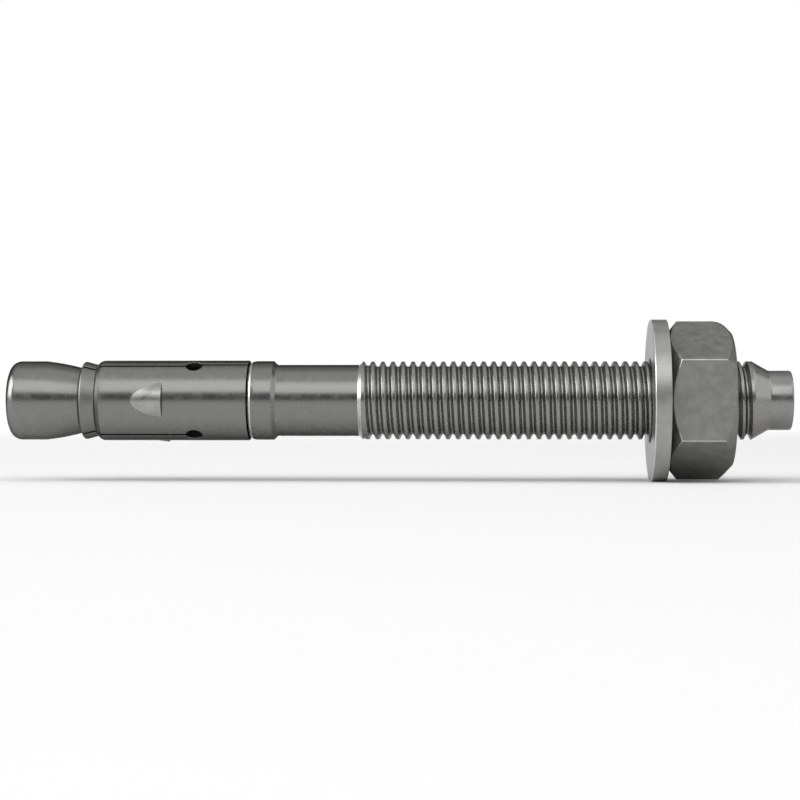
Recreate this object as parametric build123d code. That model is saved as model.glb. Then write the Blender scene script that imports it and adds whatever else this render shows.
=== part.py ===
from build123d import *

import os
from math import radians, sqrt, tan

# A wedge anchor for a 10 mm hole: a stud with a cone at one end and a thread at the other,
# a rolled steel expansion sleeve on the stud's neck, a washer and a hex nut.
#
# Millimetres. The stud's axis is X, with the cone towards -X and the nut towards +X.
# Each piece is drawn with x measured from the cone's end face, and place() then moves it so
# that the origin lies on the axis in the washer's clamping face, where the fixture's surface
# comes when the nut is run on as it is here.
# Angles round the axis are counted from the front (-Y), positive over the top.

# --- stud: stations along the axis, and radii ---
STUD_LENGTH = 96.9
HEAD_R = 4.91  # cone's largest radius, and the collar's
NOSE_ROUND = 1.3
HEAD_END = 4.37
TAPER_KNEE = (6.60, 4.66)  # where the taper steepens, with a wide blend
TAPER_BLEND = 28.0
TAPER_SLOPE = 0.257  # radius lost per mm along the steeper part
NECK_R = 3.65
NECK_BLEND = 1.0
COLLAR_START = 30.08
COLLAR_END = 32.98
COLLAR_LEAD = 0.80  # length of the collar's shallow lead-in
COLLAR_LEAD_R = 4.70
SHANK_R = 4.435
THREAD_START = 43.60
THREAD_RUN_IN = 0.45
THREAD_R = 4.855  # thread's major radius, M10: the solid is the plain cylinder over its crests
POINT_CONE_START = 92.05
POINT_START = 94.1
POINT_R = 3.67  # dog point that the hammer strikes
EDGE_BREAK = 0.2  # small chamfer on the turned and stamped edges of every piece

# --- expansion sleeve, rolled from sheet ---
SLEEVE_R = 4.98
SLEEVE_BORE_R = 3.75
SLEEVE_START = 8.93
SLEEVE_END = 29.90
CONE_CLEARANCE = 0.05  # radial, between the flared lips and the taper
LIP_CREST = (9.33, 4.89)
GROOVE_FLOOR = (11.0, 4.44)
SHOULDER_TOP_X = 11.31
FINGER_ARC = 118.8  # degrees from slot to slot
SLOT_WIDTH = 0.30
SLOT_HOLE_X = 23.28
SLOT_HOLE_R = 1.02
SEAM_WIDTH = 0.38
SEAM_ANGLE = 63.0
BUMP_TIP = 15.45
BUMP_STEP = 19.55  # the sheared end
BUMP_HEIGHT = 0.64
BUMP_HALF_WIDTH = 2.1
BUMP_ANGLES = (0, -120, 128)

# --- washer and nut ---
CLAMP_FACE = 79.6
WASHER_R = 10.0
WASHER_BORE_R = 5.25
WASHER_THICKNESS = 2.0
WASHER_ROLL_OVER = 0.18  # stamped edge on the side away from the nut
NUT_ACROSS_FLATS = 17.0
NUT_HEIGHT = 8.0
NUT_BORE_R = THREAD_R + 0.045
NUT_MOUTH_R = 5.4  # countersink at each end of the nut's thread
NUT_FACE_R = 8.15  # circle where each chamfer meets its end face
NUT_INNER_CHAMFER = 38.0  # degrees off the end face
NUT_OUTER_CHAMFER = 43.0

REACH = 3 * WASHER_R  # longer than any cut needs


def turned(corners):
    """Revolve a closed outline about X; each corner is (station, radius, corner rounding)."""
    points = [(x, r) for x, r, _ in corners]
    rounding = [blend for _, _, blend in corners]
    outline = FilletPolyline(*points, radius=rounding, close=True)
    return revolve(make_face(outline), Axis.X)


def round_from_front(angle, feature):
    """Swing a feature built on the front (-Y) side by an angle that is positive over the top."""
    return Rot(X=-angle) * feature


def place(piece):
    return Pos(-CLAMP_FACE, 0, 0) * piece


def taper_r(x):
    """Radius of the cone's steeper part at station x."""
    knee_x, knee_r = TAPER_KNEE
    return knee_r - TAPER_SLOPE * (x - knee_x)


def taper_x(r):
    """Station where the cone's steeper part has radius r."""
    knee_x, knee_r = TAPER_KNEE
    return knee_x + (knee_r - r) / TAPER_SLOPE


def stud():
    """One cold-formed piece: head, taper, neck, collar, shank, thread and dog point."""
    return turned([
        (0, 0, 0),
        (0, HEAD_R, NOSE_ROUND),
        (HEAD_END, HEAD_R, 0),
        (*TAPER_KNEE, TAPER_BLEND),
        (taper_x(NECK_R), NECK_R, NECK_BLEND),
        (COLLAR_START, NECK_R, 0),
        (COLLAR_START, COLLAR_LEAD_R - EDGE_BREAK, 0),
        (COLLAR_START + EDGE_BREAK, COLLAR_LEAD_R, 0),
        (COLLAR_START + COLLAR_LEAD, HEAD_R, 0),
        (COLLAR_END, HEAD_R, 0),
        (COLLAR_END + HEAD_R - SHANK_R, SHANK_R, 0),
        (THREAD_START, SHANK_R, 0),
        (THREAD_START + THREAD_RUN_IN, THREAD_R, 0),
        (POINT_CONE_START, THREAD_R, 0),
        (POINT_START, POINT_R, 0),
        (STUD_LENGTH - EDGE_BREAK, POINT_R, 0),
        (STUD_LENGTH, POINT_R - EDGE_BREAK, 0),
        (STUD_LENGTH, 0, 0),
    ])


def sleeve_blank():
    """The rolled sheet before it is slotted: flared lip, groove, shoulder and plain barrel."""
    shoulder_round = 1.0
    return turned([
        (SLEEVE_START, taper_r(SLEEVE_START) + CONE_CLEARANCE, 0),
        (*LIP_CREST, 0.3),
        (*GROOVE_FLOOR, 0),
        (SHOULDER_TOP_X, SLEEVE_R, shoulder_round),
        (SLEEVE_END - EDGE_BREAK, SLEEVE_R, 0),
        (SLEEVE_END, SLEEVE_R - EDGE_BREAK, 0),
        (SLEEVE_END, SLEEVE_BORE_R, 0),
        (taper_x(SLEEVE_BORE_R - CONE_CLEARANCE), SLEEVE_BORE_R, 0),
    ])


def bump_ramp(radius, drop=0.0):
    """A round bar of the given radius, tilted along a bump's ridge and cut off at its step.

    Its top line starts on the sleeve's surface at the bump's tip and is BUMP_HEIGHT proud at
    the step; drop lowers the whole bar towards the axis.
    """
    length = BUMP_STEP - BUMP_TIP
    ridge = Vector(length, -BUMP_HEIGHT, 0).normalized()
    tip = Vector(BUMP_TIP, -SLEEVE_R + drop, 0) + Vector(0, 1, 0) * radius
    start = tip - ridge * length
    bar = extrude(Plane(start, z_dir=ridge) * Circle(radius), 3 * length)
    beyond_step = Pos(BUMP_STEP + REACH / 2, 0, 0) * Box(REACH, REACH, REACH)
    return bar - beyond_step


def bump_radius():
    """Radius of the round ridge that meets the barrel BUMP_HALF_WIDTH off its middle."""
    sagitta = SLEEVE_R - sqrt(SLEEVE_R**2 - BUMP_HALF_WIDTH**2)
    rise = BUMP_HEIGHT + sagitta
    return (BUMP_HALF_WIDTH**2 + rise**2) / (2 * rise)


def slot(start, end, width, angle):
    """A narrow radial cut through the front wall between two stations."""
    cut = Pos((start + end) / 2, -REACH / 2, 0) * Box(end - start, REACH, width)
    return round_from_front(angle, cut)


def slot_hole(angle):
    hole = Pos(SLOT_HOLE_X, -REACH / 2, 0) * Rot(X=90) * Cylinder(SLOT_HOLE_R, REACH)
    return round_from_front(angle, hole)


def expansion_sleeve():
    """Three fingers that slide up the cone, each with a pressed bump that grips the hole."""
    wall = SLEEVE_R - SLEEVE_BORE_R
    ridge = bump_radius()
    core = Pos(SLOT_HOLE_X, 0, 0) * Rot(Y=90) * Cylinder(SLEEVE_BORE_R, REACH)
    sleeve = sleeve_blank()
    for angle in BUMP_ANGLES:
        sleeve += round_from_front(angle, bump_ramp(ridge) - core)
    for angle in BUMP_ANGLES:
        sleeve -= round_from_front(angle, bump_ramp(ridge - wall, drop=wall))
    slot_angles = (FINGER_ARC / 2, -FINGER_ARC / 2, -3 * FINGER_ARC / 2)
    for angle in slot_angles:
        sleeve -= slot(0, SLOT_HOLE_X, SLOT_WIDTH, angle)
        sleeve -= slot_hole(angle)
    sleeve -= slot(SLOT_HOLE_X, STUD_LENGTH, SEAM_WIDTH, SEAM_ANGLE)
    return sleeve


def washer():
    """Stamped flat washer, its outer edge rolled over on the side away from the nut."""
    back = CLAMP_FACE + WASHER_THICKNESS
    return turned([
        (CLAMP_FACE + EDGE_BREAK, WASHER_BORE_R, 0),
        (CLAMP_FACE, WASHER_BORE_R + EDGE_BREAK, 0),
        (CLAMP_FACE, WASHER_R - WASHER_ROLL_OVER, 0),
        (CLAMP_FACE + WASHER_ROLL_OVER, WASHER_R, 0),
        (back - EDGE_BREAK, WASHER_R, 0),
        (back, WASHER_R - EDGE_BREAK, 0),
        (back, WASHER_BORE_R, 0),
    ])


def nut_envelope(start, end):
    """The double cone that chamfers the nut's corners at both end faces."""
    corner_r = NUT_ACROSS_FLATS / sqrt(3) + 0.2
    overrun = corner_r - NUT_FACE_R
    return turned([
        (start, 0, 0),
        (start, NUT_FACE_R, 0),
        (start + overrun * tan(radians(NUT_INNER_CHAMFER)), corner_r, 0),
        (end - overrun * tan(radians(NUT_OUTER_CHAMFER)), corner_r, 0),
        (end, NUT_FACE_R, 0),
        (end, 0, 0),
    ])


def nut_thread_space(start, end):
    """The nut's bore with a 45 degree mouth at each end."""
    mouth = NUT_MOUTH_R - NUT_BORE_R
    return turned([
        (start - 1, 0, 0),
        (start - 1, NUT_MOUTH_R, 0),
        (start, NUT_MOUTH_R, 0),
        (start + mouth, NUT_BORE_R, 0),
        (end - mouth, NUT_BORE_R, 0),
        (end, NUT_MOUTH_R, 0),
        (end + 1, NUT_MOUTH_R, 0),
        (end + 1, 0, 0),
    ])


def hex_nut():
    """Hex nut with one flat square to the front and a corner straight up."""
    start = CLAMP_FACE + WASHER_THICKNESS
    end = start + NUT_HEIGHT
    corner_r = NUT_ACROSS_FLATS / sqrt(3)
    end_plane = Plane(origin=(start, 0, 0), x_dir=(0, 0, 1), z_dir=(1, 0, 0))
    prism = extrude(end_plane * RegularPolygon(corner_r, 6), NUT_HEIGHT)
    return (prism & nut_envelope(start, end)) - nut_thread_space(start, end)


PIECES = {
    "anchor_bolt": stud,
    "expansion_sleeve": expansion_sleeve,
    "washer": washer,
    "hex_nut": hex_nut,
}

os.makedirs("parts", exist_ok=True)
for name, make in PIECES.items():
    export_step(place(make()), f"parts/{name}.step")
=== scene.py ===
from math import acos, asin, atan2, cos, exp, hypot, pi, radians, sin, sqrt, tan

import bmesh
import bpy
from mathutils import Euler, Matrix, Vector
from mathutils.geometry import delaunay_2d_cdt


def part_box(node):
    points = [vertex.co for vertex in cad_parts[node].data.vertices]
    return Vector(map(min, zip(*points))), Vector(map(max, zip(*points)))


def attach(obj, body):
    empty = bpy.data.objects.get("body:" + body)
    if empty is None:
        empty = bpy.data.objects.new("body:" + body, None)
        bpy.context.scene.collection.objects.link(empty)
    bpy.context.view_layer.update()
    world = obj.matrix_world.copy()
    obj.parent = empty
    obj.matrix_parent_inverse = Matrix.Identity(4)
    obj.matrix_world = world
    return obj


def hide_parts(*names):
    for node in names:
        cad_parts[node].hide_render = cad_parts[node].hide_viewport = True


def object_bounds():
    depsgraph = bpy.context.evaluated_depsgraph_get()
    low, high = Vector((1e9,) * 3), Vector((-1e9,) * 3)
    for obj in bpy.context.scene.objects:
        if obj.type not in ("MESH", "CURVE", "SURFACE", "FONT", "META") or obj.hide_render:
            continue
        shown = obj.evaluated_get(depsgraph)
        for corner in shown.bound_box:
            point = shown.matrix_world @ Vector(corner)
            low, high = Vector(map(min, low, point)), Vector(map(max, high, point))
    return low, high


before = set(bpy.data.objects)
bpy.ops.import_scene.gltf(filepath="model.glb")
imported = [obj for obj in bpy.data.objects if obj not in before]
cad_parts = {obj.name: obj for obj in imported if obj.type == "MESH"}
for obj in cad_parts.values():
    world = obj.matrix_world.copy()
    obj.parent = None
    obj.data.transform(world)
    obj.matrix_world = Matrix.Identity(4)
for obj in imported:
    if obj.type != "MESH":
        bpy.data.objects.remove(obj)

# The looks of a wedge anchor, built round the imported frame.
#
# Shapes are written in millimetres: a station counts along the axis from the cone's end face,
# an angle counts round the axis from the front (-Y) and is positive over the top, and a radius
# counts from the axis. Blender gets metres.
MM = 0.001
CAD_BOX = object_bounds()
STUD_LOW, STUD_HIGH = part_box("anchor_bolt")
WASHER_LOW, WASHER_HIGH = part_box("washer")
NUT_LOW, NUT_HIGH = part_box("hex_nut")

# --- stud ---
STUD_LENGTH = (STUD_HIGH.x - STUD_LOW.x) / MM
HUB_R = 0.4  # innermost ring of both end faces
HEAD_R = 4.91
NOSE_ROUND = 1.3
HEAD_END = 4.37
TAPER_KNEE = (6.60, 4.66)
TAPER_BLEND = 28.0
TAPER_SLOPE = 0.257
NECK_R = 3.65
COLLAR_START = 30.05
COLLAR_END = 32.98
COLLAR_LEAD = 0.80
COLLAR_CORNER = (0.38, 4.65, 4.82)  # length and both radii of the bevel at its start
SHANK_R = 4.435
THREAD_START = 43.63
THREAD_RUN_IN = 0.46
GROOVE_START = THREAD_START + THREAD_RUN_IN
THREAD_R = 4.855
THREAD_PITCH = 1.25
THREAD_DEPTH = 0.62
GROOVE_RUN_IN = 0.3  # length over which the first groove opens
SHALLOW_START = 0.72  # share of the full depth that the groove has at first
DEEPENING = 1.6  # length over which it reaches the full depth
THREAD_CREST_STATION = 46.56  # where a crest passes over the top
CREST_WIDTH = 0.39
ROOT_WIDTH = 0.20
POINT_CONE_START = 92.05
POINT_START = 94.1
POINT_R = 3.67
GROOVE_END = (91.65, 92.05)  # stations between which the last groove fades out
THREAD_END = 92.4

# --- expansion sleeve ---
SLEEVE_R = 4.98
SLEEVE_BORE_R = 3.75
SLEEVE_START = 8.93
SLEEVE_END = 29.93
CONE_CLEARANCE = 0.05
LIP_CREST = (9.33, 4.89)
GROOVE_FLOOR = (11.0, 4.44)
SHOULDER_TOP_X = 11.31
SHOULDER_END = 11.71  # where the shoulder's rougher finish and darker painted shade end
FINGER_ARC = 118.8
SLOT_WIDTH = 0.38
SLOT_HOLE_X = 23.28
SLOT_HOLE_R = 1.02
SEAM_WIDTH = 0.38
SEAM_ANGLE = 63.0
SLEEVE_EDGE = 0.05  # rounding of the sheet's outer edges
BUMP_TIP = 15.71
BUMP_STEP = 19.55
BUMP_HEIGHT = 0.64
BUMP_HALF_WIDTH = 2.1
BUMP_ANGLES = (0, -120, 128)

# --- washer and nut ---
CLAMP_FACE = (WASHER_LOW.x - STUD_LOW.x) / MM
WASHER_R = WASHER_HIGH.z / MM
WASHER_BORE_R = 5.25
WASHER_THICKNESS = (WASHER_HIGH.x - WASHER_LOW.x) / MM
NUT_START = (NUT_LOW.x - STUD_LOW.x) / MM
NUT_END = (NUT_HIGH.x - STUD_LOW.x) / MM
NUT_ACROSS_FLATS = (NUT_HIGH.y - NUT_LOW.y) / MM
NUT_CORNER_ROUND = 0.20
NUT_EDGE_ROUND = 0.10
NUT_TOP_ROUND = 2.5  # the top corner's outer end is rounder than the others
NUT_TOP_SPREAD = 9.0  # degrees to each side over which that fades
NUT_CORNER_CUT = (-0.24, -0.19, 0, 0, 0.10, -0.02)  # unevenness, from the front top corner on
NUT_FACE_R = 8.15
NUT_MOUTH_R = 5.4
NUT_LEAD_IN = 0.5  # fall of the inner mouth's cone, long enough to clear the thread's last turn
NUT_INNER_CHAMFER = 38.0
NUT_OUTER_CHAMFER = 43.0
NUT_CLEARANCE = 0.045

AROUND = 128  # segments round a turned surface


# --- outlines and meshes --------------------------------------------------------------------


def clamp(value, low, high):
    return max(low, min(high, value))


def ease(value):
    """0 before 0, 1 after 1, and a soft change between."""
    t = clamp(value, 0, 1)
    return t * t * (3 - 2 * t)


def rounded(corners, steps=5):
    """Points along an open outline of (station, radius, rounding), each corner as an arc."""
    points = []
    for k, (x, r, blend) in enumerate(corners):
        if blend == 0 or k in (0, len(corners) - 1):
            points.append((x, r))
            continue
        corner = Vector((x, r))
        before = (Vector(corners[k - 1][:2]) - corner).normalized()
        after = (Vector(corners[k + 1][:2]) - corner).normalized()
        half = before.angle(after) / 2
        centre = corner + (before + after).normalized() * blend / sin(half)
        start = corner + before * blend / tan(half) - centre
        end = corner + after * blend / tan(half) - centre
        for s in range(steps + 1):
            spoke = start.slerp(end, s / steps).normalized() * blend
            points.append(tuple(centre + spoke))
    return points


def place(station, angle, radius):
    """The point in metres, in the row frame."""
    y = -radius * cos(angle) * MM
    z = radius * sin(angle) * MM
    return (STUD_LOW.x + station * MM, y, z)


class Skin:
    """Points and faces gathered for one mesh."""

    def __init__(self):
        self.points = []
        self.faces = []
        self.paint = []
        self.material = 0  # number of the material that new faces get

    def point(self, station, angle, radius):
        self.points.append(place(station, angle, radius))
        return len(self.points) - 1

    def ring(self, station, radius, angles):
        return [self.point(station, a, radius) for a in angles]

    def face(self, *corners):
        """A face without its repeated corners, left out when fewer than three remain."""
        kept = list(dict.fromkeys(corners))
        if len(kept) > 2:
            self.faces.append(kept)
            self.paint.append(self.material)

    def join(self, ring_a, ring_b):
        for k, a in enumerate(ring_a):
            self.face(ring_a[k - 1], a, ring_b[k], ring_b[k - 1])

    def middle(self, face):
        """Station and radius of a face's middle."""
        x, y, z = sum((Vector(self.points[k]) for k in face), Vector()) / len(face)
        return (x - STUD_LOW.x) / MM, hypot(y, z) / MM

    def sweep(self, rings):
        for ring_a, ring_b in zip(rings, rings[1:]):
            self.join(ring_a, ring_b)

    def cap(self, ring, station):
        hub = self.point(station, 0, 0)
        for k, a in enumerate(ring):
            self.face(ring[k - 1], a, hub)

    def build(self, name, *materials, sharp=32):
        """The finished object; the materials are numbered in their order from 0."""
        mesh = bpy.data.meshes.new(name)
        mesh.from_pydata(self.points, [], self.faces)
        mesh.polygons.foreach_set("material_index", self.paint)
        work = bmesh.new()
        work.from_mesh(mesh)
        bmesh.ops.recalc_face_normals(work, faces=work.faces)
        work.to_mesh(mesh)
        work.free()
        mesh.shade_smooth()
        mesh.set_sharp_from_angle(angle=radians(sharp))
        for material in materials:
            mesh.materials.append(material)
        piece = bpy.data.objects.new(name, mesh)
        bpy.context.scene.collection.objects.link(piece)
        normals = piece.modifiers.new("even_shading", "WEIGHTED_NORMAL")
        normals.keep_sharp = True
        return piece


def round_the_axis(count=AROUND):
    return [2 * pi * k / count for k in range(count)]


def dress(piece, body, node):
    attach(piece, body)
    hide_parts(node)


# --- stud -----------------------------------------------------------------------------------


def taper_r(x):
    """Radius of the cone that the sleeve rides up on, at station x."""
    return TAPER_KNEE[1] - TAPER_SLOPE * (x - TAPER_KNEE[0])


def taper_x(r):
    """Station at which that cone has radius r."""
    return TAPER_KNEE[0] + (TAPER_KNEE[1] - r) / TAPER_SLOPE


def thread_profile():
    """(share of the pitch from a crest's middle, share of the depth) through one groove."""
    flank = (THREAD_PITCH - CREST_WIDTH - ROOT_WIDTH) / 2
    edge = CREST_WIDTH / 2
    middle = THREAD_PITCH / 2
    groove = [
        (0, 0),
        (edge - 0.06, 0.01),
        (edge, 0.05),
        (edge + 0.05, 0.15),
        (edge + flank - 0.06, 0.88),
        (edge + flank - 0.01, 0.97),
        (edge + flank + 0.04, 1),
        (middle, 1),
    ]
    back = [(THREAD_PITCH - x, depth) for x, depth in groove[-2:0:-1]]
    return [(x / THREAD_PITCH, depth) for x, depth in groove + back]


PROFILE = thread_profile()


def groove_depth(share):
    """Depth of the groove, as a share, at this share of the pitch from a crest."""
    share %= 1
    ends = PROFILE + [(1, 0)]
    for (u0, d0), (u1, d1) in zip(ends, ends[1:]):
        if share <= u1:
            return d0 + (d1 - d0) * (share - u0) / (u1 - u0)
    return 0


def turns_at(station, angle):
    """Turns of the thread from the crest that passes over the top, right-handed."""
    return (station - THREAD_CREST_STATION) / THREAD_PITCH + (angle - pi / 2) / (2 * pi)


def thread_r(station, angle):
    """Radius of the threaded surface, with the groove's run-in and the point's cone."""
    inside = station - GROOVE_START
    deepening = SHALLOW_START + (1 - SHALLOW_START) * ease(inside / DEEPENING)
    run_in = ease(inside / GROOVE_RUN_IN)
    run_out = 1 - ease((station - GROOVE_END[0]) / (GROOVE_END[1] - GROOVE_END[0]))
    cut = THREAD_DEPTH * deepening * run_in * run_out
    steepness = (THREAD_R - POINT_R) / (POINT_START - POINT_CONE_START)
    cone = THREAD_R - steepness * (station - POINT_CONE_START)
    return min(THREAD_R - cut * groove_depth(turns_at(station, angle)), cone)


def threaded_part(skin, angles):
    """Rows along the helix from GROOVE_START to THREAD_END; returns the two end rings."""
    first = skin.ring(GROOVE_START, THREAD_R, angles)
    last = skin.ring(THREAD_END, thread_r(THREAD_END, 0), angles)
    per_turn = len(PROFILE)
    begin = int(turns_at(GROOVE_START, 0)) - 2
    finish = int(turns_at(THREAD_END, 2 * pi)) + 2

    def station_of(row, angle):
        turn, part = divmod(row, per_turn)
        turns = begin + turn + PROFILE[part][0]
        return THREAD_CREST_STATION + THREAD_PITCH * (turns - (angle - pi / 2) / (2 * pi))

    made = {}

    def vertex(row, column):
        if column == len(angles):
            return vertex(row - per_turn, 0)
        if (row, column) not in made:
            station = station_of(row, angles[column])
            if station <= GROOVE_START + 0.01:
                made[row, column] = first[column]
            elif station >= THREAD_END - 0.01:
                made[row, column] = last[column]
            else:
                radius = thread_r(station, angles[column])
                made[row, column] = skin.point(station, angles[column], radius)
        return made[row, column]

    for row in range((finish - begin) * per_turn):
        for column in range(len(angles)):
            skin.face(
                vertex(row, column),
                vertex(row, column + 1),
                vertex(row + 1, column + 1),
                vertex(row + 1, column),
            )
    return first, last


def stud(plated, worn_and_glinting, threaded):
    """plated covers the stud, the second material two sharp bevels in bare steel from wear, made
    bright as a painted glint, and threaded the thread and the point.
    """
    skin = Skin()
    angles = round_the_axis()
    front_outline = rounded([
        (0, HUB_R, 0),
        (0, HEAD_R, NOSE_ROUND),
        (HEAD_END, HEAD_R, 2.0),
        (*TAPER_KNEE, TAPER_BLEND),
        (taper_x(NECK_R), NECK_R, 1.0),
        (COLLAR_START, NECK_R, 0.2),
        (COLLAR_START, COLLAR_CORNER[1], 0.02),
        (COLLAR_START + COLLAR_CORNER[0], COLLAR_CORNER[2], 0.2),
        (COLLAR_START + COLLAR_LEAD, HEAD_R, 0.6),
        (COLLAR_END, HEAD_R, 0.12),
        (COLLAR_END + HEAD_R - SHANK_R, SHANK_R, 0.25),
        (THREAD_START, SHANK_R, 0.04),
        (GROOVE_START, THREAD_R, 0),
    ], steps=6)
    front = [skin.ring(x, r, angles) for x, r in front_outline[:-1]]
    first, last = threaded_part(skin, angles)
    point_outline = rounded([
        (THREAD_END, thread_r(THREAD_END, 0), 0),
        (POINT_START, POINT_R, 0.5),
        (STUD_LENGTH, POINT_R, 0.25),
        (STUD_LENGTH, HUB_R, 0),
    ], steps=6)
    point = [skin.ring(x, r, angles) for x, r in point_outline[1:]]
    skin.sweep(front + [first])
    skin.sweep([last] + point)
    skin.cap(front[0], 0)
    skin.cap(point[-1], STUD_LENGTH)
    bevels = (COLLAR_START, COLLAR_START + COLLAR_CORNER[0]), (THREAD_START, GROOVE_START)
    for k, face in enumerate(skin.faces):
        station, r = skin.middle(face)
        if station > GROOVE_START:
            skin.paint[k] = 2
        # painted glint: the two bevels get the bright bare steel
        elif r > SHANK_R and any(start < station < end for start, end in bevels):
            skin.paint[k] = 1
    piece = skin.build("threaded_stud", plated, worn_and_glinting, threaded)
    dress(piece, "stud", "anchor_bolt")


# --- expansion sleeve -----------------------------------------------------------------------

SLOT_ANGLES = [radians(FINGER_ARC) * k for k in (0.5, -0.5, -1.5)]
STRIP_TURN = 2 * pi * SLEEVE_R


def profile_at(points, x):
    """Radius of an outline, given as points in order of station, at station x."""
    for (x0, r0), (x1, r1) in zip(points, points[1:]):
        if x <= x1:
            return r0 + (r1 - r0) * (x - x0) / (x1 - x0)
    return points[-1][1]


def sleeve_outside():
    return rounded([
        (SLEEVE_START, taper_r(SLEEVE_START) + CONE_CLEARANCE, 0),
        (*LIP_CREST, 0.3),
        (*GROOVE_FLOOR, 0.05),
        (SHOULDER_TOP_X, SLEEVE_R, 1.0),
        (SLEEVE_END, SLEEVE_R, 0),
    ], steps=8)


def sleeve_inside():
    wedge_end = taper_x(SLEEVE_BORE_R - CONE_CLEARANCE)
    return [
        (SLEEVE_START, taper_r(SLEEVE_START) + CONE_CLEARANCE - 0.06),
        (wedge_end, SLEEVE_BORE_R),
        (SLEEVE_END, SLEEVE_BORE_R),
    ]


def bump_bar(x):
    """The round bar that forms a bump: its radius, and its middle's distance from the axis."""
    sagitta = SLEEVE_R - sqrt(SLEEVE_R**2 - BUMP_HALF_WIDTH**2)
    rise = BUMP_HEIGHT + sagitta
    bar = (BUMP_HALF_WIDTH**2 + rise**2) / (2 * rise)
    top = SLEEVE_R + BUMP_HEIGHT * (x - BUMP_TIP) / (BUMP_STEP - BUMP_TIP)
    return bar, top - bar


def bump_side(x):
    """Angle off a bump's middle where it meets the barrel."""
    bar, middle = bump_bar(x)
    return acos(clamp((middle**2 + SLEEVE_R**2 - bar**2) / (2 * middle * SLEEVE_R), -1, 1))


def bump_height(x, arc):
    """How far the bumps stand out of the barrel here; arc counts from the front."""
    if not BUMP_TIP < x < BUMP_STEP + 1e-6:
        return 0
    bar, middle = bump_bar(x)
    for angle in BUMP_ANGLES:
        off = arc / SLEEVE_R - radians(angle)
        off -= 2 * pi * round(off / (2 * pi))
        if abs(off) < bump_side(x):
            return middle * cos(off) + sqrt(bar**2 - (middle * sin(off)) ** 2) - SLEEVE_R
    return 0


def bump_outline(arc, steps=24):
    """Points round one bump, closer together towards its tip."""
    stations = [BUMP_TIP + (BUMP_STEP - BUMP_TIP) * (k / steps) ** 2 for k in range(1, steps + 1)]
    upper = [Vector((x, arc + bump_side(x) * SLEEVE_R)) for x in stations]
    lower = [Vector((x, arc - bump_side(x) * SLEEVE_R)) for x in stations]
    across = line_of(upper[-1], lower[-1], 0.2)[1:]
    return [Vector((BUMP_TIP, arc))] + upper + across + lower[::-1]


def line_of(start, end, gap):
    """Points from start towards end, without the end, no further apart than gap."""
    start, end = Vector(start), Vector(end)
    count = max(1, round((end - start).length / gap))
    return [start.lerp(end, k / count) for k in range(count)]


def hole_arc(arc, start, end, steps=18):
    """Points round a slot's hole; start and end are angles from the +station direction."""
    angles = [start + (end - start) * k / steps for k in range(steps)]
    return [
        Vector((SLOT_HOLE_X + SLOT_HOLE_R * cos(a), arc + SLOT_HOLE_R * sin(a))) for a in angles
    ]


def strip_edge(gap=0.25):
    """The flat strip's edge as (station, arc) points: the seam's two sides and two slots."""
    half = SLOT_WIDTH / 2
    mouth = asin(half / SLOT_HOLE_R)
    slot_end = SLOT_HOLE_X - SLOT_HOLE_R * cos(mouth)
    split, lower, third = [a * SLEEVE_R for a in SLOT_ANGLES]
    seam = radians(SEAM_ANGLE) * SLEEVE_R
    near = asin((seam - SEAM_WIDTH / 2 - split) / SLOT_HOLE_R)
    far = asin((seam + SEAM_WIDTH / 2 - split) / SLOT_HOLE_R)
    near_x = SLOT_HOLE_X + SLOT_HOLE_R * cos(near)
    far_x = SLOT_HOLE_X + SLOT_HOLE_R * cos(far)
    near_arc = seam - SEAM_WIDTH / 2
    far_arc = seam + SEAM_WIDTH / 2 - STRIP_TURN
    back = split - STRIP_TURN
    edge = line_of((SLEEVE_START, split - half), (slot_end, split - half), gap)
    edge += hole_arc(split, mouth - pi, near)
    edge += line_of((near_x, near_arc), (SLEEVE_END, near_arc), gap)
    edge += line_of((SLEEVE_END, near_arc), (SLEEVE_END, far_arc), gap)
    edge += line_of((SLEEVE_END, far_arc), (far_x, far_arc), gap)
    edge += hole_arc(back, far, pi - mouth)
    edge += line_of((slot_end, back + half), (SLEEVE_START, back + half), gap)
    corner = (SLEEVE_START, back + half)
    for arc in (third, lower):
        edge += line_of(corner, (SLEEVE_START, arc - half), gap)
        edge += line_of((SLEEVE_START, arc - half), (slot_end, arc - half), gap)
        edge += hole_arc(arc, mouth - pi, pi - mouth, steps=36)
        edge += line_of((slot_end, arc + half), (SLEEVE_START, arc + half), gap)
        corner = (SLEEVE_START, arc + half)
    edge += line_of(corner, (SLEEVE_START, split - half), gap)
    return edge


def inset(edge, distance):
    """The closed outline moved into the sheet, which lies on its right."""
    moved = []
    for k, point in enumerate(edge):
        before = (point - edge[k - 1]).normalized()
        after = (edge[(k + 1) % len(edge)] - point).normalized()
        normal = Vector((before.y + after.y, -before.x - after.x)).normalized()
        lean = max(0.3, normal.dot(Vector((after.y, -after.x))))
        moved.append(point + normal * distance / lean)
    return moved


def clear_of_edges(x, arc, margin):
    """Whether a point of the strip is further than margin from every edge."""
    if not SLEEVE_START + margin < x < SLEEVE_END - margin:
        return False
    split, lower, third = [a * SLEEVE_R for a in SLOT_ANGLES]
    seam = radians(SEAM_ANGLE) * SLEEVE_R
    for slot in (split, split - STRIP_TURN, lower, third):
        if x < SLOT_HOLE_X and abs(arc - slot) < SLOT_WIDTH / 2 + margin:
            return False
        if hypot(x - SLOT_HOLE_X, arc - slot) < SLOT_HOLE_R + margin:
            return False
    if x < SLOT_HOLE_X:
        return split - STRIP_TURN < arc < split
    low = seam + SEAM_WIDTH / 2 - STRIP_TURN + margin
    return low < arc < seam - SEAM_WIDTH / 2 - margin


def strip_points(columns, gap, margin):
    """Points spread over the strip: every column of stations, rows a gap apart."""
    rows = [k * gap for k in range(-140, 80)]
    return [
        Vector((x, arc)) for x in columns for arc in rows if clear_of_edges(x, arc, margin)
    ]


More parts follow.
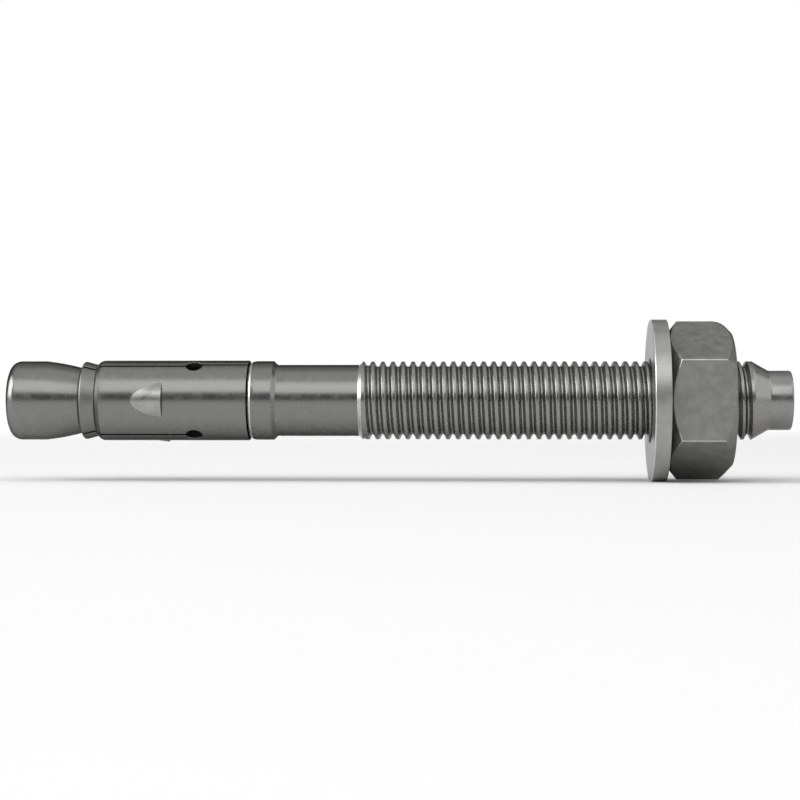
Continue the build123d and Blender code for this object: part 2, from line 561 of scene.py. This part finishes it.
def sheet_outlines():
    """The closed lines that the strip's mesh keeps, each with its drop below the surface."""
    edge = strip_edge()
    turns = [0, 0.12, 0.32, 0.62, 1]  # share of the rounding's width, from the edge inwards
    outlines = [
        (inset(edge, SLEEVE_EDGE * t), SLEEVE_EDGE * (1 - sqrt(1 - (1 - t) ** 2))) for t in turns
    ]
    for angle in BUMP_ANGLES:
        in_strip = angle if angle < SEAM_ANGLE else angle - 360
        outlines.append((bump_outline(radians(in_strip) * SLEEVE_R), 0))
    return outlines


def sheet_columns(outside):
    """Stations of the strip's grid: those of the outline, the barrel's and the bumps' steps."""
    columns = [x for x, _ in outside[1:-1]]
    columns += [SHOULDER_TOP_X + 0.8 + 0.22 * k for k in range(80)]
    columns += [BUMP_STEP - 0.12, BUMP_STEP - 0.05, BUMP_STEP + 0.02]
    return sorted(set(columns))


def sheet_triangles(outside):
    """The flat strip: its (station, arc) points, their drops below the surface, its faces."""
    outlines = sheet_outlines()
    flat, lines, drops = [], [], []
    for outline, drop in outlines:
        base, count = len(flat), len(outline)
        flat += outline
        drops += [drop] * count
        lines += [(base + k, base + (k + 1) % count) for k in range(count)]
    flat += strip_points(sheet_columns(outside), 0.2, SLEEVE_EDGE + 0.07)
    drops += [0] * (len(flat) - len(drops))
    edge_count = len(outlines[0][0])
    sheet = list(range(edge_count))[::-1]  # as a face, which marks the triangles inside it
    made = delaunay_2d_cdt(flat, lines[edge_count:], [sheet], 0, 1e-6, True)
    points, faces, sources, marks = made[0], made[2], made[3], made[5]
    kept = [face for face, inside in zip(faces, marks) if inside]
    return points, [drops[ids[0]] if ids else 0 for ids in sources], kept


def open_edges(faces):
    """The edges that only one face has, in that face's direction."""
    single = {}
    for face in faces:
        for a, b in zip(face, list(face[1:]) + [face[0]]):
            single[a, b] = (b, a) not in single
            if not single[a, b]:
                single[b, a] = False
    return [edge for edge, alone in single.items() if alone]


def sleeve(plated, pressed_and_highlit, cut, rolled):
    """plated covers the sheet; the second material the bumps, stamped metal made lighter as a
    painted highlight; cut the bore and the cut walls, near black as painted shade; rolled the
    shoulder, rougher and darker as painted shade.
    """
    outside, inside = sleeve_outside(), sleeve_inside()
    points, drops, faces = sheet_triangles(outside)
    skin = Skin()
    outer, inner = [], []
    for (x, arc), drop in zip(points, drops):
        angle = arc / SLEEVE_R
        raised = bump_height(x, arc)
        outer.append(skin.point(x, angle, profile_at(outside, x) + raised - drop))
        inner.append(skin.point(x, angle, profile_at(inside, x) + raised))
    for face in faces:
        x, arc = sum((points[k] for k in face), Vector((0, 0))) / len(face)
        skin.material = 0
        # painted highlight: the bumps get a lighter stamped steel
        if bump_height(x, arc) > 0:
            skin.material = 1
        # painted shade: the shoulder gets a darker, rougher steel that takes out its highlight
        elif GROOVE_FLOOR[0] < x < SHOULDER_END:
            skin.material = 3
        skin.face(*[outer[k] for k in face])
        # painted shade: the inner side gets the near-black steel
        skin.material = 2
        skin.face(*[inner[k] for k in reversed(face)])
    # painted shade: the walls of the slots, holes, seam and ends keep the near-black steel
    for a, b in open_edges(faces):
        skin.face(outer[b], outer[a], inner[a], inner[b])
    piece = skin.build("slotted_sleeve", plated, pressed_and_highlit, cut, rolled)
    dress(piece, "sleeve", "expansion_sleeve")


# --- washer and nut -------------------------------------------------------------------------


def washer(plated, worn_and_glinting):
    """plated covers the washer, and the second material the outer edge of its clamping face, bare
    steel from wear made bright as a painted glint.
    """
    skin = Skin()
    angles = round_the_axis(192)
    bevel = 0.14  # reach of the bright edge: wear and a painted glint
    back = CLAMP_FACE + WASHER_THICKNESS
    middle_r = (WASHER_R + WASHER_BORE_R) / 2
    outline = rounded([
        (CLAMP_FACE, middle_r, 0),
        (CLAMP_FACE, WASHER_R, 0.15),
        (back, WASHER_R, 0.06),
        (back, WASHER_BORE_R, 0.08),
        (CLAMP_FACE, WASHER_BORE_R, 0.15),
        (CLAMP_FACE, middle_r, 0),
    ])
    rings = [skin.ring(x, r, angles) for x, r in outline[:-1]]
    skin.sweep(rings + [rings[0]])
    for k, face in enumerate(skin.faces):
        station, r = skin.middle(face)
        # painted glint: the clamping face's outer edge gets the bright bare steel
        if r > WASHER_R - bevel and station < CLAMP_FACE + bevel:
            skin.paint[k] = 1
    dress(skin.build("flat_washer", plated, worn_and_glinting), "washer", "washer")


def hex_corner():
    """Distance of a rounded corner's middle from the axis, and half the angle it takes up."""
    centre_r = (NUT_ACROSS_FLATS / 2 - NUT_CORNER_ROUND) / cos(pi / 6)
    side = NUT_CORNER_ROUND * sin(pi / 6)
    return centre_r, atan2(side, centre_r + NUT_CORNER_ROUND * cos(pi / 6))


def hex_angles(flat_steps=12, corner_steps=8):
    """Angles round a hexagon with a flat to the front, closer together round its corners."""
    turn = hex_corner()[1]
    flat = pi / 3 - 2 * turn
    angles = []
    for side in range(6):
        corner = pi / 6 + side * pi / 3
        angles += [corner - turn + 2 * turn * k / corner_steps for k in range(corner_steps)]
        angles += [corner + turn + flat * k / flat_steps for k in range(flat_steps)]
    return angles


def hex_r(angle):
    """Radius of a hexagon with rounded corners and a flat to the front."""
    off_corner = abs((angle % (pi / 3)) - pi / 6)
    centre_r, turn = hex_corner()
    if off_corner > turn:
        return NUT_ACROSS_FLATS / 2 / cos(pi / 6 - off_corner)
    reach = NUT_CORNER_ROUND**2 - (centre_r * sin(off_corner)) ** 2
    return centre_r * cos(off_corner) + sqrt(reach)


def nut_outline(angle):
    """The nut's outside at this angle, from its inner face over the side to its outer face."""
    side = hex_r(angle)
    rise = side - NUT_FACE_R
    off_top = (angle - pi / 2) / radians(NUT_TOP_SPREAD)
    outer_round = NUT_EDGE_ROUND + (NUT_TOP_ROUND - NUT_EDGE_ROUND) * exp(-off_top * off_top)
    apothem = NUT_ACROSS_FLATS / 2
    cornered = (side - apothem) / (hex_r(pi / 6) - apothem)
    cut = NUT_CORNER_CUT[round((angle - pi / 6) / (pi / 3)) % 6] * cornered
    inner_slope = tan(radians(NUT_INNER_CHAMFER))
    outer_slope = tan(radians(NUT_OUTER_CHAMFER))
    return rounded([
        (NUT_START, NUT_MOUTH_R + 0.3, 0),
        (NUT_START, NUT_FACE_R, NUT_EDGE_ROUND),
        (NUT_START + rise * inner_slope, side, NUT_EDGE_ROUND),
        (NUT_END - rise * outer_slope - cut, side, outer_round),
        (NUT_END, NUT_FACE_R - cut / outer_slope, NUT_EDGE_ROUND),
        (NUT_END, NUT_MOUTH_R + 0.3, 0),
    ])


def nut_bore_r(station, angle):
    """Radius of the threaded bore, with a cone at each mouth."""
    outer_mouth = NUT_MOUTH_R - (NUT_END - station)
    inner_mouth = NUT_MOUTH_R - NUT_LEAD_IN * (station - NUT_START)
    thread = THREAD_R + NUT_CLEARANCE - THREAD_DEPTH * groove_depth(turns_at(station, angle))
    return max(thread, outer_mouth, inner_mouth)


def nut(forged, rubbed_and_highlit, worn_and_glinting, bore_steps=110):
    """forged covers the nut; the second material its six ridges, polished by rubbing and made
    lighter as a painted highlight; the third the ridges' ends by the washer, bare steel from wear
    made bright as a painted glint.
    """
    skin = Skin()
    angles = hex_angles()
    rings = [
        [skin.point(x, angle, r) for (x, r), angle in zip(row, angles)]
        for row in zip(*[nut_outline(angle) for angle in angles])
    ]
    for k in range(bore_steps + 1):
        x = NUT_END + (NUT_START - NUT_END) * k / bore_steps
        rings.append([skin.point(x, angle, nut_bore_r(x, angle)) for angle in angles])
    skin.sweep(rings + [rings[0]])
    ridge_r = hex_r(pi / 6)
    ridge_start = NUT_START + (ridge_r - NUT_FACE_R) * tan(radians(NUT_INNER_CHAMFER))
    for k, face in enumerate(skin.faces):
        station, r = skin.middle(face)
        # painted glint: the ridges' ends by the washer get the bright bare steel
        if hypot(station - ridge_start, ridge_r - r) < 0.5:
            skin.paint[k] = 2
        # painted highlight: the six ridges get a lighter, glossier steel
        elif ridge_r - r < 0.05:
            skin.paint[k] = 1
    dress(skin.build("forged_nut", forged, rubbed_and_highlit, worn_and_glinting), "nut", "hex_nut")


# --- materials ------------------------------------------------------------------------------


class Tree:
    """A material's node tree, with short calls to add nodes."""

    def __init__(self, name):
        self.material = bpy.data.materials.new(name)
        self.material.use_nodes = True
        self.nodes = self.material.node_tree.nodes
        self.links = self.material.node_tree.links
        self.nodes.clear()

    def add(self, kind, inputs=None, **settings):
        """A node; an input is a plain value or another node's output."""
        node = self.nodes.new("ShaderNode" + kind)
        for key, value in settings.items():
            setattr(node, key, value)
        for key, value in (inputs or {}).items():
            if isinstance(value, bpy.types.NodeSocket):
                self.links.new(value, node.inputs[key])
            else:
                node.inputs[key].default_value = value
        return node

    def noise(self, vector, scale, detail=3, roughness=0.55):
        node = self.add("TexNoise", {
            "Vector": vector, "Scale": scale, "Detail": detail, "Roughness": roughness,
        })
        return node.outputs["Fac"]

    def stretched(self, scale):
        """Object coordinates in metres, scaled by an own factor along each axis."""
        where = self.add("TexCoord").outputs["Object"]
        return self.add("Mapping", {"Vector": where, "Scale": scale}).outputs["Vector"]

    def scratches(self, turn):
        """1 on a few fine, short scratches that run along an axis turned by these degrees."""
        where = self.add("TexCoord").outputs["Object"]
        along = self.add("Mapping", {
            "Vector": where, "Rotation": [radians(t) for t in turn],
            "Scale": (0.00014, 0.00014, 0.0014),
        }, vector_type="TEXTURE")
        return self.range(self.noise(along.outputs["Vector"], 1, detail=2), 0.67, 0.78, 0, 1)

    def range(self, value, low, high, to_low, to_high):
        node = self.add("MapRange", {
            "Value": value, "From Min": low, "From Max": high, "To Min": to_low,
            "To Max": to_high,
        })
        return node.outputs["Result"]

    def mix(self, share, a, b):
        node = self.add("Mix", data_type="RGBA")
        for key, value in (("Factor_Float", share), ("A_Color", a), ("B_Color", b)):
            socket = next(s for s in node.inputs if s.identifier == key)
            if isinstance(value, bpy.types.NodeSocket):
                self.links.new(value, socket)
            else:
                socket.default_value = value
        return next(s for s in node.outputs if s.identifier == "Result_Color")

    def finish(self, shader):
        self.add("OutputMaterial", {"Surface": shader.outputs[0]})
        return self.material


def steel(name, dark, light, roughness, streaks, grain, edge=0.5, pits=0, dull_end=None,
          scratched=None):
    """Plated steel with a mottled tint and an uneven gloss.

    streaks, grain and pits are the strengths of the turning marks, of the fine grain and of
    the pits. edge is how much of the tint is left in what the metal reflects at a grazing
    angle. dull_end is a pair of stations between which a rolled end's dullness fades out, and
    scratched is the tint of the scratches.
    """
    tree = Tree(name)
    cloud = tree.noise(tree.stretched((1, 1, 1)), 900, detail=4)
    line = tree.noise(tree.stretched((9000, 500, 500)), 1, detail=3, roughness=0.7)
    fine = tree.noise(tree.stretched((1, 1, 1)), 9000, detail=2)
    tint = tree.mix(tree.range(cloud, 0.3, 0.7, 0, 1), dark, light)
    if scratched:
        for turn in ((0, 15, 0), (30, 62, 10), (-20, -48, 0)):
            tint = tree.mix(tree.scratches(turn), tint, scratched)
    gloss = tree.range(cloud, 0.3, 0.7, roughness - 0.05, roughness + 0.05)
    if dull_end:
        along = tree.add("SeparateXYZ", {0: tree.stretched((1, 1, 1))}).outputs["X"]
        start, end = (STUD_LOW.x + station * MM for station in dull_end)
        extra = tree.range(along, start, end, 0.14, 0)
        gloss = tree.add("Math", {0: gloss, 1: extra}, operation="ADD").outputs[0]
    lines = tree.add("Bump", {"Height": line, "Strength": streaks, "Distance": 0.00002})
    bumps = tree.add("Bump", {
        "Height": fine, "Strength": grain, "Distance": 0.00001, "Normal": lines.outputs[0],
    })
    if pits:
        uneven = tree.noise(tree.stretched((1600, 1100, 1100)), 1, detail=5, roughness=0.65)
        bumps = tree.add("Bump", {
            "Height": uneven, "Strength": pits, "Distance": 0.0001, "Normal": bumps.outputs[0],
        })
    shader = tree.add("BsdfPrincipled", {
        "Base Color": tint, "Metallic": 1, "Roughness": gloss, "Normal": bumps.outputs[0],
        "Specular Tint": (edge, edge, edge, 1),
    })
    return tree.finish(shader)


# --- stage ----------------------------------------------------------------------------------

FLOOR_Z = CAD_BOX[0].z
WORLD_LEVEL = 0.145
LAMP_DISTANCE = 1.4
PART_MIDDLE = (CAD_BOX[0] + CAD_BOX[1]) / 2


def flat_stage(name, corners, material):
    mesh = bpy.data.meshes.new(name)
    mesh.from_pydata(corners, [], [range(len(corners))])
    mesh.materials.append(material)
    piece = bpy.data.objects.new(name, mesh)
    bpy.context.scene.collection.objects.link(piece)


def pale_surface(name, colour):
    tree = Tree(name)
    shader = tree.add("BsdfPrincipled", {"Base Color": colour, "Roughness": 0.8})
    return tree.finish(shader)


def white_surface(name):
    """White to the camera and in reflections, and it gives the object no light of its own."""
    tree = Tree(name)
    path = tree.add("LightPath").outputs
    seen = path["Is Camera Ray"]
    for kind in ("Is Glossy Ray", "Is Transmission Ray"):
        seen = tree.add("Math", {0: seen, 1: path[kind]}, operation="MAXIMUM").outputs[0]
    glow = tree.add("Emission", {"Color": (1, 1, 1, 1), "Strength": 1})
    matt = tree.add("BsdfDiffuse", {"Color": (0.8, 0.8, 0.8, 1)})
    shader = tree.add("MixShader", {0: seen, 1: matt.outputs[0], 2: glow.outputs[0]})
    return tree.finish(shader)


def studio():
    """A pale floor, a white backdrop a little larger than the view, and a grey world."""
    reach = 1.5
    floor = [
        (-reach, -reach, FLOOR_Z),
        (reach, -reach, FLOOR_Z),
        (reach, reach, FLOOR_Z),
        (-reach, reach, FLOOR_Z),
    ]
    flat_stage("floor", floor, pale_surface("pale_floor", (0.81, 0.81, 0.807, 1)))
    back, left, right, top = 0.42, -0.21, 0.12, 0.14
    backdrop = [
        (left, back, FLOOR_Z),
        (right, back, FLOOR_Z),
        (right, back, top),
        (left, back, top),
    ]
    flat_stage("backdrop", backdrop, white_surface("white_backdrop"))
    world = bpy.data.worlds.new("studio")
    world.use_nodes = True
    ground = world.node_tree.nodes["Background"]
    ground.inputs["Color"].default_value = (1, 1, 1, 1)
    ground.inputs["Strength"].default_value = WORLD_LEVEL
    bpy.context.scene.world = world


def softbox(name, azimuth, elevation, size, radiance):
    """A lamp aimed at the object; azimuth counts from the camera's side towards the right."""
    light = bpy.data.lights.new(name, "AREA")
    light.shape = "RECTANGLE"
    light.size, light.size_y = size
    light.energy = radiance * pi * size[0] * size[1]
    lamp = bpy.data.objects.new(name, light)
    away = Vector((0, -LAMP_DISTANCE, 0))
    away.rotate(Euler((-radians(elevation), 0, radians(azimuth))))
    lamp.location = PART_MIDDLE + away
    lamp.rotation_euler = (-away).to_track_quat("-Z", "Y").to_euler()
    lamp.visible_camera = False
    bpy.context.scene.collection.objects.link(lamp)


def lights():
    softbox("key", azimuth=-3, elevation=41.5, size=(1.2, 0.93), radiance=1.88)
    softbox("overhead", azimuth=0, elevation=84, size=(2.2, 1.25), radiance=0.8)
    softbox("rear", azimuth=0, elevation=125, size=(2.2, 0.86), radiance=0.44)
    softbox("left", azimuth=-72, elevation=27, size=(1.2, 1.0), radiance=4.96)
    softbox("right", azimuth=75, elevation=31, size=(1.5, 1.5), radiance=1.2)


CAMERA_STATION = 60.5
CAMERA_DISTANCE = 262.0
CAMERA_YAW = 2.585
CAMERA_PITCH = 0.011
CAMERA_LENS = 94.84


def camera():
    data = bpy.data.cameras.new("camera")
    data.lens = CAMERA_LENS
    data.sensor_width = 36
    data.clip_start = 0.01
    eye = bpy.data.objects.new("camera", data)
    eye.location = (STUD_LOW.x + CAMERA_STATION * MM, -CAMERA_DISTANCE * MM, 0)
    eye.rotation_euler = (radians(90 + CAMERA_PITCH), 0, radians(CAMERA_YAW))
    bpy.context.scene.collection.objects.link(eye)
    bpy.context.scene.camera = eye
    bpy.context.scene.view_settings.view_transform = "Standard"


zinc = steel(
    "satin_zinc", (0.198, 0.198, 0.19, 1), (0.219, 0.219, 0.213, 1),
    roughness=0.26, streaks=0.25, grain=0.08, edge=0.3)
thread_zinc = steel(
    "thread_zinc", (0.244, 0.244, 0.237, 1), (0.275, 0.275, 0.269, 1),
    roughness=0.27, streaks=0.2, grain=0.1, edge=0.7)
sheet_zinc = steel(
    "sheet_zinc", (0.198, 0.198, 0.19, 1), (0.219, 0.219, 0.213, 1),
    roughness=0.26, streaks=0.25, grain=0.08, edge=0.3, dull_end=(11.2, 12.4))
# rougher rolled finish, darkened as painted shade on the sleeve's shoulder
rolled_and_shaded_zinc = steel(
    "rolled_and_shaded_zinc", (0.094, 0.094, 0.09, 1), (0.112, 0.112, 0.109, 1),
    roughness=0.42, streaks=0.25, grain=0.2)
# stamped bumps: burnished finish, made lighter as a painted highlight
pressed_and_highlit_zinc = steel(
    "pressed_and_highlit_zinc", (0.3, 0.3, 0.294, 1), (0.375, 0.375, 0.367, 1),
    roughness=0.30, streaks=0.3, grain=0.3, edge=0.8, pits=0.1)
# painted shade: near-black steel for the sleeve's bore and cut walls, dark as if they lay in
# shade
painted_shade_steel = steel(
    "painted_shade_steel", (0.025, 0.025, 0.022, 1), (0.05, 0.05, 0.048, 1),
    roughness=0.5, streaks=0, grain=0.5, edge=0.1)
bright_zinc = steel(
    "bright_zinc", (0.312, 0.312, 0.306, 1), (0.362, 0.362, 0.355, 1),
    roughness=0.38, streaks=0.2, grain=0.2, edge=1)
dull_zinc = steel(
    "dull_zinc", (0.237, 0.237, 0.232, 1), (0.3, 0.3, 0.294, 1),
    roughness=0.50, streaks=0, grain=0.5, edge=0.1, pits=0.5, scratched=(0.45, 0.45, 0.443, 1))
# rubbed ridges, made lighter as a painted highlight
rubbed_and_highlit_zinc = steel(
    "rubbed_and_highlit_zinc", (0.375, 0.375, 0.369, 1), (0.475, 0.475, 0.466, 1),
    roughness=0.32, streaks=0.2, grain=0.3, edge=0.8)
# bare steel from wear, made bright as a painted glint on bevels and edges
worn_and_glinting_steel = steel(
    "worn_and_glinting_steel", (0.575, 0.575, 0.568, 1), (0.7, 0.7, 0.691, 1),
    roughness=0.30, streaks=0.1, grain=0.1, edge=1)

stud(zinc, worn_and_glinting_steel, thread_zinc)
sleeve(sheet_zinc, pressed_and_highlit_zinc, painted_shade_steel, rolled_and_shaded_zinc)
washer(bright_zinc, worn_and_glinting_steel)
nut(dull_zinc, rubbed_and_highlit_zinc, worn_and_glinting_steel)
studio()
lights()
camera()
